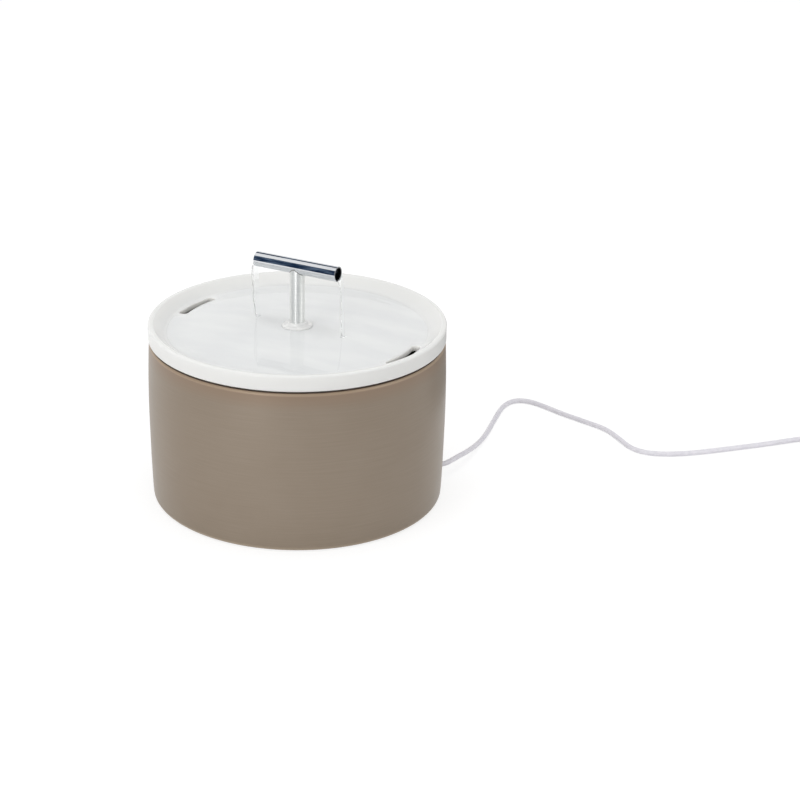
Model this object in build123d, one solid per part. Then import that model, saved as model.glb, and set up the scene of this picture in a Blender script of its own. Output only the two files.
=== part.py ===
"""Pet water fountain: ceramic tank, tray lid, turning T spout and a submersible pump on a mains lead.

Millimetres. The origin is on the surface under the middle of the tank, +Z is up and +X runs along
the spout bar. The pump is built along +X and then turned to face the cord outlet.
"""
import os
from math import copysign, cos, hypot, pi, radians, sin, sqrt, tan

from build123d import *

# Fits
running_gap = 0.06        # radial, shaft in bore
soft_gap = 0.3            # between faces that move past each other
seat_gap = 0.1            # between a cover and what it covers
press_gap = 0.02          # radial, pieces that are pushed together
winding_gap = 0.05        # round the coil former
core_gap = 0.2            # round the stator core

# Tank
tank_height = 139.3       # rim above the surface
tank_radius = 124.4       # wall at the rim
tank_belly = 1.1          # how far the wall swells at mid height
tank_taper = 2.5          # how far it draws in at the foot
tank_wall = 5.5
tank_floor = 5.5
foot_radius = 7.0         # rounding between the wall and the underside
well_radius = 4.0         # rounding inside, between the wall and the floor
rim_outer_round = 2.2
rim_inner_round = 1.3

# Feet
pad_count = 4
pad_radius = 9.0
pad_proud = 1.0           # height of the pads below the ceramic
pad_recess = 1.2
pad_inset = 25.9          # from the foot of the wall to a pad's middle

# Lid
lid_overhang = 0.6        # beyond the tank's rim
lid_height = 15.3         # from the tank rim to the top of the lid
lid_edge = 4.2            # width of the rim's rounded top
lid_inner_round = 1.6
lid_outer_round = 1.9
lid_under_round = 1.4
lid_seat_width = 4.1      # ring that rests on the tank's rim
lid_seat_height = 1.7     # of that ring below the overhang
rim_slope = 9.8           # plan width of the rim's inner slope
tray_thickness = 4.8
tray_drop = 3.4           # fall of the tray from its middle to the slots
tray_sag = 1.02           # part of that fall half-way out
tray_edge_depth = 8.2     # from the lid's top down to the tray at the slots
tray_level = 11.0         # plan width of the level ground that the slots are cut in
tray_foot_round = 4.5     # between the level ground and the rim
land_radius = 16.0        # flat round the collar
guide_ring_width = 4.0
guide_ring_depth = 4.5
guide_ring_gap = 2.4      # between the guide ring and the tank wall
guide_ring_round = 1.0

# Drain slots
slot_count = 2
slot_inset = 5.6          # from the foot of the rim to the slot's middle line
slot_width = 7.0
slot_round = 1.5          # glazed edge on the tray side
slot_half_angle = 10.8    # to the centre of each round end
slot_turn = -3.2          # of the slots, from the bar's direction

# Spout
bar_radius = 6.4
bar_length = 77.5
bar_rise = 47.5           # from the lid's top to the bar's axis
stem_radius = 6.25
tube_wall = 1.0

# Collar
collar_radius = 12.75
collar_flange = 1.7
collar_flange_edge = 1.0  # height of the flange's upright edge
collar_flange_bevel = 1.2
collar_hub_radius = 9.2
collar_height = 3.9
collar_draft = 1.0        # how much narrower the hub is at its top
collar_foot_round = 1.2
collar_top_round = 0.7
collar_hole_radius = 9.0  # hole in the lid
collar_reach = 3.0        # how far the collar passes below the lid
nut_radius = 12.5
nut_height = 2.6
nut_grips = 12            # finger grips round the nut
nut_grip_radius = 1.2
nut_grip_offset = 0.4     # grip centres beyond the nut's radius

# Pump
pump_length = 52.0
pump_width = 36.0
pump_height = 34.0
pump_corner = 5.0
pump_shell = 2.5
pump_front = -8.0         # front face of the housing
pump_edge_round = 1.5
cup_height = 6.0          # from the tank floor to the pump
cup_radius = 7.5
cup_lip = 0.7             # thickness of the cup's edge
cup_hollow = 1.4          # height of the air space under the cup
cup_crown_radius = 4.5
cup_crown_height = 2.6
cup_neck_radius = 3.0
cup_neck_height = 3.6
cup_stud_radius = 2.0
cup_stud_height = 1.9
cup_stud_hole = 2.0
cup_inset = 9.0
chamber_radius = 12.5
chamber_depth = 13.0
can_radius = 7.0          # bore that the magnet turns in
can_wall = 1.2
can_depth = 24.3
spigot_radius = 4.5
spigot_bore = 3.2
spigot_height = 15.5
seat_radius = 3.0
seat_length = 1.7
pin_radius = 1.25         # ceramic pin that the rotor turns on
seal_section = 0.7
seal_radius = 14.2

# Rotor
magnet_radius = 6.3
magnet_length = 21.0
impeller_radius = 10.5
impeller_plate = 1.5
impeller_hub = 3.9
impeller_front_gap = 3.2  # from the chamber's mouth to the blades
impeller_rear_gap = 0.5   # from the back plate to the chamber's rear wall
magnet_gap = 2.2          # from the chamber's rear wall to the magnet
blade_inset = 0.3         # blade tips inside the back plate
blade_root = 0.5          # how deep a blade goes into the hub
blade_count = 6
blade_thickness = 1.2
blade_sweep = 38.0

# Stator
core_depth = 14.0
core_leg = 7.3
yoke_depth = 5.0
yoke_rear_gap = 3.0
coil_thickness = 1.9
coil_round = 1.2
former_wall = 0.7
core_side_gap = 1.2       # between the core and the shell
core_front_gap = 1.0

# Intake
cover_thickness = 3.0
eye_radius = 6.5
spoke_count = 3
spoke_width = 1.6
spider_wall = 0.9         # round the front shaft seat
intake_depth = 15.0
intake_wall = 1.8
intake_slot = 2.2
intake_pitch = 4.2
intake_rows = 5
intake_round = 1.5
intake_side_start = 4.0   # side slots, from the front face
intake_side_end = 3.0     # and from the rear
intake_face_start = 1.0   # face slots, from the middle
sponge_gap = 0.2
sponge_setback = 2.0      # from the rear of the cover
gate_thickness = 1.4
gate_height = 22.0
gate_width = 13.0
gate_ridge = 2.2          # thumb ridge, out from the gate
gate_ridge_width = 2.0
gate_ridge_inset = 1.5    # its ends, from the rails
rail_width = 1.6
rail_lip = 1.2
rail_overrun = 0.5        # rail ends beyond the gate
rail_root = 0.5           # how deep a rail goes into the face

# Riser sleeve
sleeve_wall = 2.4
sleeve_grip = 20.0        # length of the socket round the stem
sleeve_stop = 2.0
sleeve_cone_start = 4.0   # below the top of the spigot
sleeve_cone_end = 1.0     # above it
sleeve_bevel = 0.8
sleeve_bevel_height = 1.0

# Cord
cord_radius = 2.25
outlet_angle = 41.5       # direction of the cord outlet, from +X
outlet_height = 11.0
outlet_radius = 3.85      # hole in the tank wall
exit_run = 10.2           # straight length of cord outside the grommet
grommet_flange_radius = 6.5
grommet_flange = 1.5
grommet_bevel = 0.6
grommet_tip = 0.5         # wall at the thin ends
grommet_nose = 1.6
grommet_tail = 14.0
relief_radius = 4.6
gland_length = 16.0
gland_collar = 3.0        # straight part next to the pump
gland_tip = 0.6           # wall at the thin end
gland_drop = 9.0          # gland below the pump axis
gland_run = 10.0          # straight lead out of the gland and into the grommet
inner_dip = 5.5           # half-way along the lead
inner_side = 0.6
bend_share = 0.45         # of the shorter run, taken by the arc at a corner

# Coil and plug
coil_radius = 25.0        # at the middle turn
coil_columns = 3
coil_layers = 2
coil_lift = 0.9           # room for the tie under the coil
coil_start_angle = 120.0
coil_offset = (299.8, 232.6)   # from the tip of the grommet to the coil's centre
tie_thickness = 0.8
tie_slack = 0.1           # between the tie and the coil
tie_arc = 24.0
tie_angle = 215.0
plug_front_width = 35.3
plug_rear_width = 15.0
plug_thickness = 13.7
plug_rear_thickness = 11.0
plug_length = 34.0
plug_relief_length = 22.0
plug_relief_tip = 0.7     # wall at the thin end
plug_relief_rings = 4
plug_relief_groove = 1.2  # width of a groove between rings
plug_relief_groove_depth = 0.5
plug_relief_first = 5.5   # from the plug to the first groove
plug_relief_pitch = 3.96
plug_side_flat = 0.8      # straight part of the plug's narrow sides
plug_grip_length = 13.6   # straight front part of the plug
plug_face_round = 1.2
plug_pin_round = 0.9
plug_pin_radius = 2.0
plug_pin_length = 19.0
plug_pin_spacing = 18.6
tail_reach = 40.0         # from the coil's middle to the plug's relief
tail_step = 0.8           # how far the lead swings out on its way
tail_first = 12.5         # from the coil's middle to the first bend
tail_first_height = 6.8
tail_last = 11.0          # straight lead into the relief
plug_offset = 0.3         # plug's axis beyond the coil's outer turn

# Derived radii
tank_mid_radius = tank_radius + tank_belly
tank_low_radius = tank_radius - tank_taper
pad_ring_radius = tank_low_radius - pad_inset
lid_radius = tank_radius + lid_overhang
tray_wall_radius = lid_radius - lid_edge - rim_slope
tray_foot_radius = tray_wall_radius - tray_level
slot_radius = tray_wall_radius - slot_inset

# Derived heights and lengths
underside = pad_proud
floor_top = underside + tank_floor
lid_top = tank_height + lid_height
tray_low = lid_top - tray_edge_depth
tray_high = tray_low + tray_drop
bar_height = lid_top + bar_rise
pump_bottom = floor_top + cup_height
pump_axis = pump_bottom + pump_height / 2
pump_top = pump_bottom + pump_height
pump_rear = pump_front + pump_length
chamber_end = pump_front + chamber_depth
can_end = chamber_end + can_depth
magnet_start = chamber_end + magnet_gap
seat_end = can_end + seat_length
spigot_top = pump_top + spigot_height
stem_bottom = spigot_top + 2 * sleeve_stop
former_half = pump_width / 2 - pump_shell - core_side_gap - core_leg - core_gap
gland_height = pump_axis - gland_drop
gland_end = pump_rear + gland_length


def arc_radius(height, low, middle, high):
    """Radius at a height on the arc through three (radius, height) points."""
    (x1, y1), (x2, y2), (x3, y3) = low, middle, high
    turn = 2 * (x1 * (y2 - y3) + x2 * (y3 - y1) + x3 * (y1 - y2))
    s1, s2, s3 = x1 * x1 + y1 * y1, x2 * x2 + y2 * y2, x3 * x3 + y3 * y3
    cx = (s1 * (y2 - y3) + s2 * (y3 - y1) + s3 * (y1 - y2)) / turn
    cy = (s1 * (x3 - x2) + s2 * (x1 - x3) + s3 * (x2 - x1)) / turn
    bend = hypot(x1 - cx, y1 - cy)
    return cx + copysign(sqrt(bend * bend - (height - cy) ** 2), x1 - cx)


def wall_radius(height):
    """Outer radius of the tank wall at a height."""
    low = (tank_low_radius, underside)
    middle = (tank_mid_radius, (underside + tank_height) / 2)
    high = (tank_radius, tank_height)
    return arc_radius(height, low, middle, high)


outlet_face = wall_radius(outlet_height)
nose_tip = outlet_face + grommet_flange + grommet_nose
tail_tip = outlet_face - tank_wall - grommet_tail


def turned(edges, axis=Axis.Z):
    """Solid of revolution of a closed outline."""
    return revolve(make_face(edges), axis)


def ring_edge(solid, radius, height):
    """Circular edge of a turned solid nearest to a radius and a height."""
    circles = solid.edges().filter_by(GeomType.CIRCLE)
    return circles.sort_by(lambda e: abs(e.radius - radius) + abs(e.arc_center.Z - height))[0]


def tube_z(outer, inner, bottom, top):
    """Upright tube."""
    height = top - bottom
    middle = Pos(0, 0, bottom + height / 2)
    return middle * (Cylinder(outer, height) - Cylinder(inner, height))


def rod_x(radius, start, end, height=pump_axis, side=0.0):
    """Round bar along X."""
    return Pos((start + end) / 2, side, height) * Rot(0, 90, 0) * Cylinder(radius, end - start)


def block(x, y, z):
    """Box between two X, two Y and two Z values."""
    centre = Pos((x[0] + x[1]) / 2, (y[0] + y[1]) / 2, (z[0] + z[1]) / 2)
    return centre * Box(x[1] - x[0], y[1] - y[0], z[1] - z[0])


def prism_x(width, height, corner, start, end):
    """Rounded rectangle on the pump's axis, extruded along X."""
    outline = RectangleRounded(width, height, corner)
    return extrude(Plane.YZ.offset(start) * Pos(0, pump_axis) * outline, end - start)


def at_outlet(shape):
    """Turns a pump piece, built along +X, to face the cord outlet."""
    return Rot(0, 0, outlet_angle) * shape


# ---------------------------------------------------------------- tank and lid

def tank():
    """Slip-cast tank: a barrelled wall, a rounded foot and a recess for each pad."""
    middle = (underside + tank_height) / 2
    inner_low = wall_radius(floor_top) - tank_wall
    outline = [
        Line((0, 0, underside), (tank_low_radius, 0, underside)),
        ThreePointArc((tank_low_radius, 0, underside), (tank_mid_radius, 0, middle),
                      (tank_radius, 0, tank_height)),
        Line((tank_radius, 0, tank_height), (tank_radius - tank_wall, 0, tank_height)),
        ThreePointArc((tank_radius - tank_wall, 0, tank_height), (tank_mid_radius - tank_wall, 0, middle),
                      (inner_low, 0, floor_top)),
        Line((inner_low, 0, floor_top), (0, 0, floor_top)),
        Line((0, 0, floor_top), (0, 0, underside)),
    ]
    body = turned(outline)
    body = fillet(ring_edge(body, tank_low_radius, underside), foot_radius)
    body = fillet(ring_edge(body, inner_low, floor_top), well_radius)
    body = fillet(ring_edge(body, tank_radius, tank_height), rim_outer_round)
    body = fillet(ring_edge(body, tank_radius - tank_wall, tank_height), rim_inner_round)
    recess_top = underside + pad_recess
    recess = Pos(0, 0, recess_top / 2) * Cylinder(pad_radius, recess_top)
    for place in PolarLocations(pad_ring_radius, pad_count, 360 / pad_count / 2):
        body -= place * recess
    reach = outlet_face - tank_wall - well_radius * 2
    hole = rod_x(outlet_radius, reach, nose_tip, outlet_height)
    return body - at_outlet(hole)


def foot_pads():
    """Silicone discs pressed into the recesses under the tank."""
    height = underside + pad_recess
    radius = pad_radius - running_gap
    pad = Pos(0, 0, height / 2) * Cylinder(radius, height)
    pad = fillet(ring_edge(pad, radius, 0), pad_proud / 2)
    return Compound([place * pad for place in PolarLocations(pad_ring_radius, pad_count, 360 / pad_count / 2)])


def outlet_grommet(wall):
    """Silicone grommet round the cord, moulded to the wall that it passes through."""
    z = outlet_height
    flange_back = outlet_face - grommet_flange
    points = [
        (tail_tip, 0, z), (tail_tip, 0, z + cord_radius + grommet_tip),
        (outlet_face - tank_wall, 0, z + outlet_radius - seat_gap),
        (flange_back, 0, z + outlet_radius - seat_gap), (flange_back, 0, z + grommet_flange_radius),
        (outlet_face + grommet_flange, 0, z + grommet_flange_radius - grommet_bevel),
        (outlet_face + grommet_flange, 0, z + outlet_radius),
        (nose_tip, 0, z + cord_radius + grommet_tip), (nose_tip, 0, z),
    ]
    return at_outlet(turned(Polyline(*points, close=True), Axis((0, 0, z), (1, 0, 0)))) - wall


def slot_half_outline(bottom, top):
    """Half of a slot's section, from its middle line outwards, with the glazed edge flared."""
    half = slot_width / 2
    edge = half + slot_round
    bend = slot_round * (1 - sqrt(0.5))
    start = tray_low - slot_round
    return [
        Line((0, 0, bottom), (half, 0, bottom)),
        Line((half, 0, bottom), (half, 0, start)),
        ThreePointArc((half, 0, start), (half + bend, 0, tray_low - bend), (edge, 0, tray_low)),
        Line((edge, 0, tray_low), (edge, 0, top)),
        Line((edge, 0, top), (0, 0, top)),
        Line((0, 0, top), (0, 0, bottom)),
    ]


def drain_slot(bottom, top):
    """Cutters for one curved slot at the foot of the rim, round +X: its arc and its two ends."""
    half = make_face(slot_half_outline(bottom, top))
    section = Pos(slot_radius, 0, 0) * (half + mirror(half, Plane.YZ))
    arc = Rot(0, 0, -slot_half_angle) * revolve(section, Axis.Z, 2 * slot_half_angle)
    end = Pos(slot_radius, 0, 0) * revolve(half, Axis.Z)
    return [arc, Rot(0, 0, -slot_half_angle) * end, Rot(0, 0, slot_half_angle) * end]


def lid():
    """Ceramic tray lid: a domed tray, a raised rim, two drain slots, a seat and a guide ring below."""
    crest = lid_radius - lid_edge
    ring_out = tank_radius - tank_wall - guide_ring_gap
    ring_in = ring_out - guide_ring_width
    ring_low = tank_height - guide_ring_depth
    seat = ring_out + lid_seat_width
    overhang = tank_height + lid_seat_height
    low_under = tray_low - tray_thickness
    high_under = tray_high - tray_thickness
    dome_mid = (land_radius + tray_foot_radius) / 2
    outline = [
        Line((collar_hole_radius, 0, tray_high), (land_radius, 0, tray_high)),
        ThreePointArc((land_radius, 0, tray_high), (dome_mid, 0, tray_high - tray_sag),
                      (tray_foot_radius, 0, tray_low)),
        Line((tray_foot_radius, 0, tray_low), (tray_wall_radius, 0, tray_low)),
        Line((tray_wall_radius, 0, tray_low), (crest, 0, lid_top)),
        Line((crest, 0, lid_top), (lid_radius, 0, lid_top)),
        Line((lid_radius, 0, lid_top), (lid_radius, 0, overhang)),
        Line((lid_radius, 0, overhang), (seat, 0, overhang)),
        Line((seat, 0, overhang), (seat, 0, tank_height)),
        Line((seat, 0, tank_height), (ring_out, 0, tank_height)),
        Line((ring_out, 0, tank_height), (ring_out, 0, ring_low)),
        Line((ring_out, 0, ring_low), (ring_in, 0, ring_low)),
        Line((ring_in, 0, ring_low), (ring_in, 0, low_under)),
        Line((ring_in, 0, low_under), (tray_foot_radius, 0, low_under)),
        ThreePointArc((tray_foot_radius, 0, low_under), (dome_mid, 0, high_under - tray_sag),
                      (land_radius, 0, high_under)),
        Line((land_radius, 0, high_under), (collar_hole_radius, 0, high_under)),
        Line((collar_hole_radius, 0, high_under), (collar_hole_radius, 0, tray_high)),
    ]
    body = turned(outline)
    body = fillet(ring_edge(body, tray_wall_radius, tray_low), tray_foot_round)
    body = fillet(ring_edge(body, crest, lid_top), lid_inner_round)
    body = fillet(ring_edge(body, lid_radius, lid_top), lid_outer_round)
    body = fillet(ring_edge(body, lid_radius, overhang), lid_under_round)
    body = fillet(ring_edge(body, ring_out, ring_low), guide_ring_round)
    for n in range(slot_count):
        for cutter in drain_slot(ring_low, lid_top):
            body -= Rot(0, 0, slot_turn + 360 / slot_count * n) * cutter
    return body


# ---------------------------------------------------------------- spout

def spout_collar():
    """Flanged bush that the stem stands in; it turns in the lid's centre hole."""
    bottom = tray_high - tray_thickness - collar_reach
    bore = stem_radius + running_gap
    spigot = collar_hole_radius - running_gap
    flange_top = tray_high + collar_flange
    hub_top = collar_hub_radius - collar_draft
    points = [
        (bore, 0, bottom), (spigot, 0, bottom), (spigot, 0, tray_high), (collar_radius, 0, tray_high),
        (collar_radius, 0, tray_high + collar_flange_edge),
        (collar_radius - collar_flange_bevel, 0, flange_top), (collar_hub_radius, 0, flange_top),
        (hub_top, 0, tray_high + collar_height), (bore, 0, tray_high + collar_height),
    ]
    body = turned(Polyline(*points, close=True))
    body = fillet(ring_edge(body, collar_hub_radius, flange_top), collar_foot_round)
    return fillet(ring_edge(body, hub_top, tray_high + collar_height), collar_top_round)


def collar_nut():
    """Grip nut that holds the collar from below the lid."""
    top = tray_high - tray_thickness - soft_gap
    ring = tube_z(nut_radius, collar_hole_radius - running_gap, top - nut_height, top)
    grip = Pos(0, 0, top - nut_height / 2) * Cylinder(nut_grip_radius, nut_height)
    for place in PolarLocations(nut_radius + nut_grip_offset, nut_grips):
        ring -= place * grip
    return ring


def spout_stem():
    """Upright tube, coped at the top to fit the underside of the bar."""
    body = tube_z(stem_radius, stem_radius - tube_wall, stem_bottom, bar_height)
    cope = Pos(0, 0, bar_height) * Rot(0, 90, 0) * Cylinder(bar_radius + press_gap, bar_length)
    return body - cope


def spout_bar():
    """Cross tube, open at both ends, with the water hole in its underside."""
    outer = Cylinder(bar_radius, bar_length)
    inner = Cylinder(bar_radius - tube_wall, bar_length)
    body = Pos(0, 0, bar_height) * Rot(0, 90, 0) * (outer - inner)
    drop = bar_height - bar_radius
    hole = Pos(0, 0, drop) * Cylinder(stem_radius - tube_wall, 2 * tube_wall + bar_radius)
    return body - hole


# ---------------------------------------------------------------- pump

def cup_places():
    """Centres of the four suction cups, as (x, y)."""
    half = pump_width / 2 - cup_inset
    xs = (pump_front + cup_inset, pump_rear - cup_inset)
    return [(x, y) for x in xs for y in (-half, half)]


def pump_housing():
    """Moulded housing: chamber in front, thin can for the rotor, stator pocket open at the rear."""
    shell = prism_x(pump_width, pump_height, pump_corner, pump_front, pump_rear)
    shell = fillet(shell.edges().group_by(Axis.X)[-1], pump_edge_round)
    chamber = rod_x(chamber_radius, pump_front, chamber_end)
    width = pump_width - 2 * pump_shell
    height = pump_height - 2 * pump_shell
    pocket_start = chamber_end + pump_shell
    pocket = prism_x(width, height, pump_corner - pump_shell / 2, pocket_start, pump_rear)
    can = rod_x(can_radius + can_wall, pocket_start, seat_end + can_wall)
    spigot = tube_z(spigot_radius, spigot_bore, pump_top - pump_shell / 2, spigot_top)
    outlet = Pos(0, 0, (pump_axis + spigot_top) / 2) * Cylinder(spigot_bore, spigot_top - pump_axis)
    body = shell + spigot - (pocket - can) - chamber - outlet
    body -= rod_x(can_radius, chamber_end, can_end)
    body -= rod_x(seat_radius, can_end, seat_end)
    groove = rod_x(seal_radius + seal_section, pump_front, pump_front + 2 * seal_section)
    groove -= rod_x(seal_radius - seal_section, pump_front, pump_front + 2 * seal_section)
    body -= groove
    hole = Pos(0, 0, pump_bottom + cup_stud_hole / 2) * Cylinder(cup_stud_radius + running_gap, cup_stud_hole)
    for x, y in cup_places():
        body -= Pos(x, y, 0) * hole
    return body


def suction_cups():
    """Rubber cups that hold the pump to the tank floor."""
    top = pump_bottom
    points = [
        (0, 0, floor_top + cup_hollow), (cup_crown_radius, 0, floor_top + cup_hollow - cup_lip / 2),
        (cup_radius, 0, floor_top), (cup_radius, 0, floor_top + cup_lip),
        (cup_crown_radius, 0, floor_top + cup_crown_height), (cup_neck_radius, 0, floor_top + cup_neck_height),
        (cup_neck_radius, 0, top), (cup_stud_radius, 0, top), (cup_stud_radius, 0, top + cup_stud_height),
        (0, 0, top + cup_stud_height),
    ]
    cup = turned(Polyline(*points, close=True))
    return Compound([Pos(x, y, 0) * cup for x, y in cup_places()])


def chamber_seal():
    """O-ring between the housing and the chamber cover."""
    place = Pos(pump_front + seal_section, 0, pump_axis) * Rot(0, 90, 0)
    return place * Torus(seal_radius, seal_section - press_gap)


def chamber_cover():
    """Front plate with the inlet eye and a spider that carries the rotor pin."""
    front = pump_front - cover_thickness
    plate = prism_x(pump_width, pump_height, pump_corner, front, pump_front)
    plate -= rod_x(eye_radius, front, pump_front)
    spider = rod_x(seat_radius + spider_wall, front, pump_front)
    depth = (front, pump_front - spider_wall)
    for n in range(spoke_count):
        spoke = block(depth, (-spoke_width / 2, spoke_width / 2), (seat_radius, eye_radius + spider_wall))
        spider += Pos(0, 0, pump_axis) * Rot(360 / spoke_count * n, 0, 0) * spoke
    return plate + spider - rod_x(seat_radius, pump_front - seat_length, pump_front)


def shaft_seat(start):
    """Rubber seat for one end of the rotor pin."""
    seat = rod_x(seat_radius - press_gap, start, start + seat_length)
    return seat - rod_x(pin_radius, start, start + seat_length)


def impeller_shaft():
    """Ceramic pin that the rotor turns on."""
    return rod_x(pin_radius, pump_front - seat_length, seat_end)


def rotor_magnet():
    """Ferrite magnet in the can."""
    end = magnet_start + magnet_length
    body = rod_x(magnet_radius, magnet_start, end)
    return body - rod_x(pin_radius + running_gap, magnet_start, end)


def impeller():
    """Back plate, hub and swept blades; the hub is bonded to the magnet."""
    rear = chamber_end - impeller_rear_gap
    face = rear - impeller_plate
    front = pump_front + impeller_front_gap
    body = rod_x(impeller_radius, face, rear) + rod_x(impeller_hub, front, magnet_start)
    inner = impeller_hub - blade_root
    outer = impeller_radius - blade_inset
    middle = (inner + outer) / 2
    sweep = radians(blade_sweep)
    bow = sweep / 3
    curve = ThreePointArc((inner, 0), (middle * cos(bow), middle * sin(bow)),
                          (outer * cos(sweep), outer * sin(sweep)))
    blade = extrude(trace(curve, blade_thickness), face - front)
    blade = Pos(front, 0, pump_axis) * Rot(0, 90, 0) * blade
    for n in range(blade_count):
        turn = Pos(0, 0, pump_axis) * Rot(360 / blade_count * n, 0, 0) * Pos(0, 0, -pump_axis)
        body += turn * blade
    return body - rod_x(pin_radius + running_gap, front, magnet_start)


def yoke_span():
    """Front and rear of the stator yoke."""
    rear = pump_rear - yoke_rear_gap
    return rear - yoke_depth, rear


def stator_core():
    """Laminated U core: two legs with concave pole faces and a yoke behind the can."""
    front, rear = yoke_span()
    pole = can_radius + can_wall + core_gap
    outer = pump_width / 2 - pump_shell - core_side_gap
    low = pump_axis - core_depth / 2
    high = pump_axis + core_depth / 2
    start = chamber_end + pump_shell + core_front_gap
    body = block((front, rear), (-outer, outer), (low, high))
    for side in (-1, 1):
        span = sorted((side * (outer - core_leg), side * outer))
        body += block((start, rear), span, (low, high))
    return body - rod_x(pole, start, seat_end + can_wall + core_gap)


def around_yoke(offset, half_length):
    """Block round the yoke, larger than it by an offset."""
    front, rear = yoke_span()
    half = core_depth / 2 + offset
    y = (-half_length, half_length)
    return block((front - offset, rear + offset), y, (pump_axis - half, pump_axis + half))


def coil_former():
    """Flanged former on the yoke."""
    full = around_yoke(former_wall + coil_thickness, former_half)
    waist = around_yoke(former_wall + coil_thickness, former_half - former_wall)
    waist -= around_yoke(former_wall, former_half - former_wall)
    return full - waist - around_yoke(winding_gap, former_half)


def stator_coil():
    """Copper winding between the former's flanges."""
    half = former_half - former_wall - winding_gap
    outer = around_yoke(former_wall + coil_thickness - core_gap, half)
    return fillet(outer.edges().filter_by(Axis.Y), coil_round) - around_yoke(former_wall + winding_gap, half)


def potting():
    """Resin that fills the stator pocket and closes the rear."""
    start = chamber_end + pump_shell
    width = pump_width - 2 * pump_shell
    height = pump_height - 2 * pump_shell
    fill = prism_x(width, height, pump_corner - pump_shell / 2, start, pump_rear)
    fill -= rod_x(can_radius + can_wall, start, seat_end + can_wall)
    fill -= stator_core()
    fill -= around_yoke(former_wall + coil_thickness, former_half)
    return fill


def pump_gland():
    """Moulded strain relief at the rear of the pump."""
    points = [
        (pump_rear, 0, gland_height), (pump_rear, 0, gland_height + relief_radius),
        (pump_rear + gland_collar, 0, gland_height + relief_radius),
        (gland_end, 0, gland_height + cord_radius + gland_tip),
        (gland_end, 0, gland_height),
    ]
    return turned(Polyline(*points, close=True), Axis((0, 0, gland_height), (1, 0, 0)))


def intake_grille():
    """Pull-off intake cover: slots in its face and sides, and rails for the flow gate."""
    rear = pump_front - cover_thickness - seat_gap
    front = rear - intake_depth
    body = prism_x(pump_width, pump_height, pump_corner, front, rear)
    body = fillet(body.edges().group_by(Axis.X)[0], intake_round)
    width = pump_width - 2 * intake_wall
    height = pump_height - 2 * intake_wall
    body -= prism_x(width, height, pump_corner - intake_wall / 2, front + intake_wall, rear)
    for n in range(intake_rows):
        z = pump_axis + (n - (intake_rows - 1) / 2) * intake_pitch
        half = intake_slot / 2
        body -= block((front, front + intake_wall), (intake_face_start, gate_width), (z - half, z + half))
        slot = (front + intake_side_start, rear - intake_side_end)
        body -= block(slot, (-pump_width / 2, pump_width / 2), (z - half, z + half))
    for side in (-1, 1):
        edge = pump_axis + side * (gate_height / 2 + seat_gap)
        lip = pump_axis + side * (gate_height / 2 - rail_width)
        outer = edge + side * rail_width
        reach = gate_width + rail_overrun
        y = (-reach, reach)
        post_front = front - gate_thickness - 2 * soft_gap
        body += block((post_front, front + rail_root), y, sorted((edge, outer)))
        body += block((post_front - rail_lip, post_front), y, sorted((lip, outer)))
    return body


def filter_sponge():
    """Foam pad inside the intake cover."""
    rear = pump_front - cover_thickness - seat_gap
    front = rear - intake_depth + intake_wall
    width = pump_width - 2 * (intake_wall + sponge_gap)
    height = pump_height - 2 * (intake_wall + sponge_gap)
    return prism_x(width, height, pump_corner - intake_wall / 2, front + seat_gap, rear - sponge_setback)


def flow_gate():
    """Sliding gate that covers the face slots, with a thumb ridge."""
    face = pump_front - cover_thickness - seat_gap - intake_depth
    rear = face - soft_gap
    half = gate_height / 2 - soft_gap / 2
    z = (pump_axis - half, pump_axis + half)
    body = block((rear - gate_thickness, rear), (-gate_width, 0), z)
    ridge_half = half - rail_width - gate_ridge_inset
    centre = -gate_width / 2
    y = (centre - gate_ridge_width / 2, centre + gate_ridge_width / 2)
    z = (pump_axis - ridge_half, pump_axis + ridge_half)
    return body + block((rear - gate_thickness - gate_ridge, rear), y, z)


def riser_sleeve():
    """Silicone coupling from the pump spigot to the spout stem."""
    low_bore = spigot_radius + press_gap
    high_bore = stem_radius + running_gap
    low = pump_top
    stop = spigot_top
    high = stem_bottom + sleeve_grip
    low_outer = low_bore + sleeve_wall
    high_outer = high_bore + sleeve_wall
    points = [
        (low_bore, 0, low), (low_outer, 0, low), (low_outer, 0, stop - sleeve_cone_start),
        (high_outer, 0, stop + sleeve_cone_end), (high_outer, 0, high - sleeve_bevel_height),
        (high_outer - sleeve_bevel, 0, high),
        (high_bore, 0, high), (high_bore, 0, stop + sleeve_stop),
        (spigot_bore, 0, stop + sleeve_stop), (spigot_bore, 0, stop), (low_bore, 0, stop),
    ]
    return turned(Polyline(*points, close=True))


# ---------------------------------------------------------------- cord, coil and plug

def corner_radii(points):
    """Largest arcs that a cord's runs allow, one for each corner."""
    vectors = [Vector(*p) for p in points]
    radii = []
    for before, corner, after in zip(vectors, vectors[1:], vectors[2:]):
        run_in = corner - before
        run_out = after - corner
        turn = radians(run_in.get_angle(run_out))
        radii.append(bend_share * min(run_in.length, run_out.length) / tan(turn / 2))
    return radii


def cord_tube(name, points):
    """Round cord of straight runs joined by tangent arcs."""
    radii = corner_radii(points)
    path = FilletPolyline(*points, radius=radii)
    start = Plane(path @ 0, z_dir=path % 0)
    solid = sweep(start * Circle(cord_radius), path=path)
    expected = pi * cord_radius ** 2 * path.length
    print(name, "radii", [round(r, 1) for r in radii])
    print(name, f"length {path.length:.1f} mm, volume {solid.volume:.1f} of {expected:.1f} mm3")
    return solid


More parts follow.
